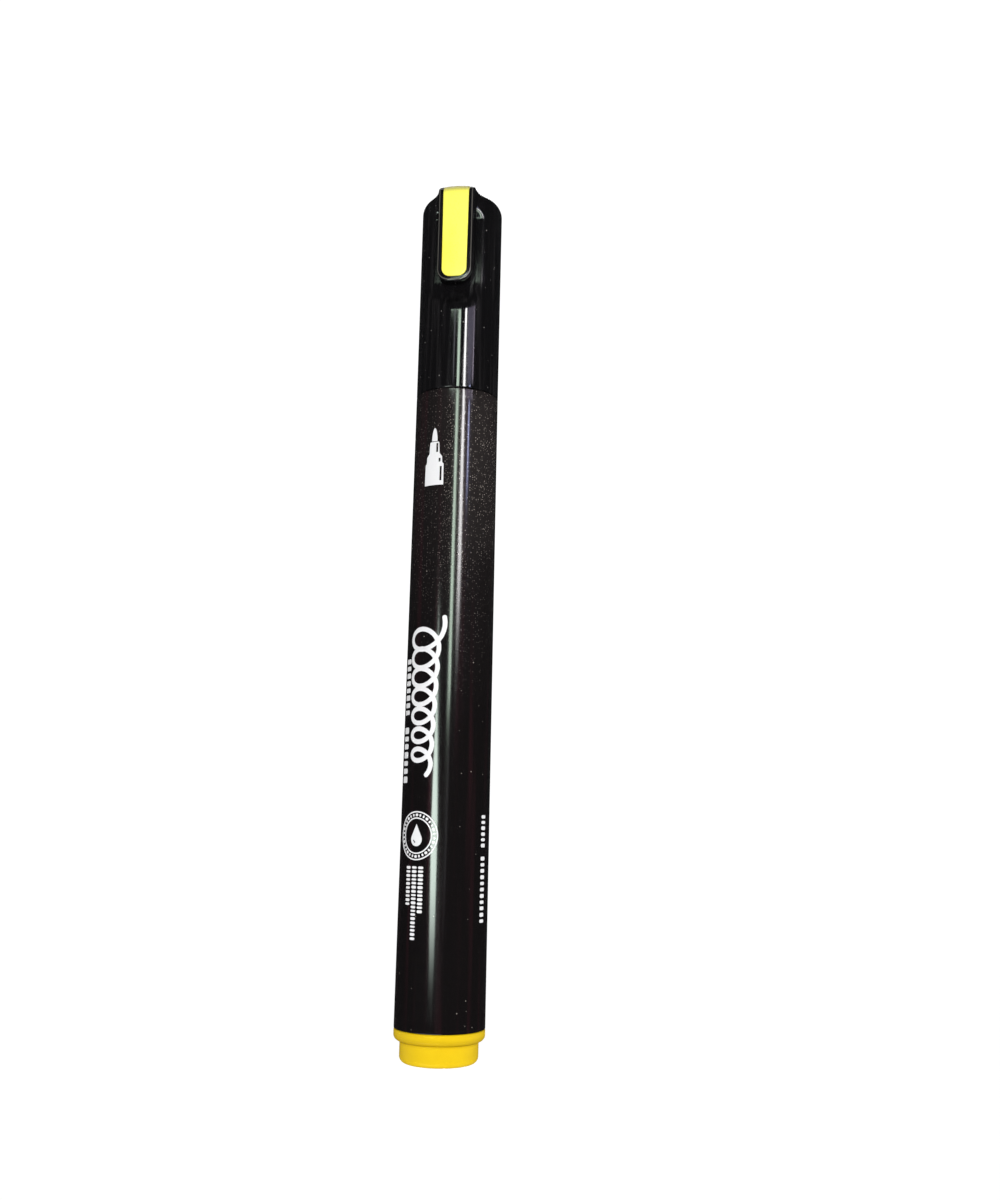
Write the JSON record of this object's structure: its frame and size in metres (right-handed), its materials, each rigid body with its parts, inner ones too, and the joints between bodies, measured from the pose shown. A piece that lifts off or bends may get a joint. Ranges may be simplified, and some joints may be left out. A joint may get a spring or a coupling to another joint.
{
  "type": "felt tip marker",
  "caption": "Round felt tip marker with a tapered barrel, a pull-off clip cap over a bullet nib, and a stepped end plug that takes the posted cap.",
  "frame": {"origin": "centre of the rear plug's flat end face, which the marker stands on", "axes": "+Z along the marker towards the cap, -Y towards the clip, +X to the right as the clip faces the viewer"},
  "size_m": [0.014, 0.014, 0.1412],
  "materials": {
    "cap_black": "polished black moulded plastic",
    "barrel_black": "satin-gloss black lacquer with fine speckle",
    "plug_yellow": "satin moulded golden yellow plastic",
    "strip_yellow": "smooth lemon yellow plastic",
    "nose_black": "satin black moulded plastic",
    "nib_fibre": "bonded fibre soaked with yellow ink",
    "core_fibre": "ink-soaked polyester fibre bundle",
    "wrap_film": "thin clear film",
    "liner_natural": "natural polypropylene"
  },
  "bodies": {
    "pen": {"barrel": "barrel_black", "end_plug": "plug_yellow", "nose_section": "nose_black", "nib": "nib_fibre", "fibre_reservoir": "core_fibre", "reservoir_wrap": "wrap_film"},
    "cap": {"cap_shell": "cap_black", "cap_inner_liner": "liner_natural"},
    "clip": {"clip": "cap_black", "clip_insert": "strip_yellow"}
  },
  "joints": [
    {"name": "cap_pull", "type": "slide", "parent": "pen", "child": "cap", "axis": [0, 0, 1], "range_m": [0, 0.045]},
    {"name": "clip_flex", "type": "hinge", "parent": "cap", "child": "clip", "pos_m": [0, -0.0021, 0.1395], "axis": [-1, 0, 0], "range_deg": [0, 6], "stiffness_Nm_per_rad": 0.1}
  ]
}
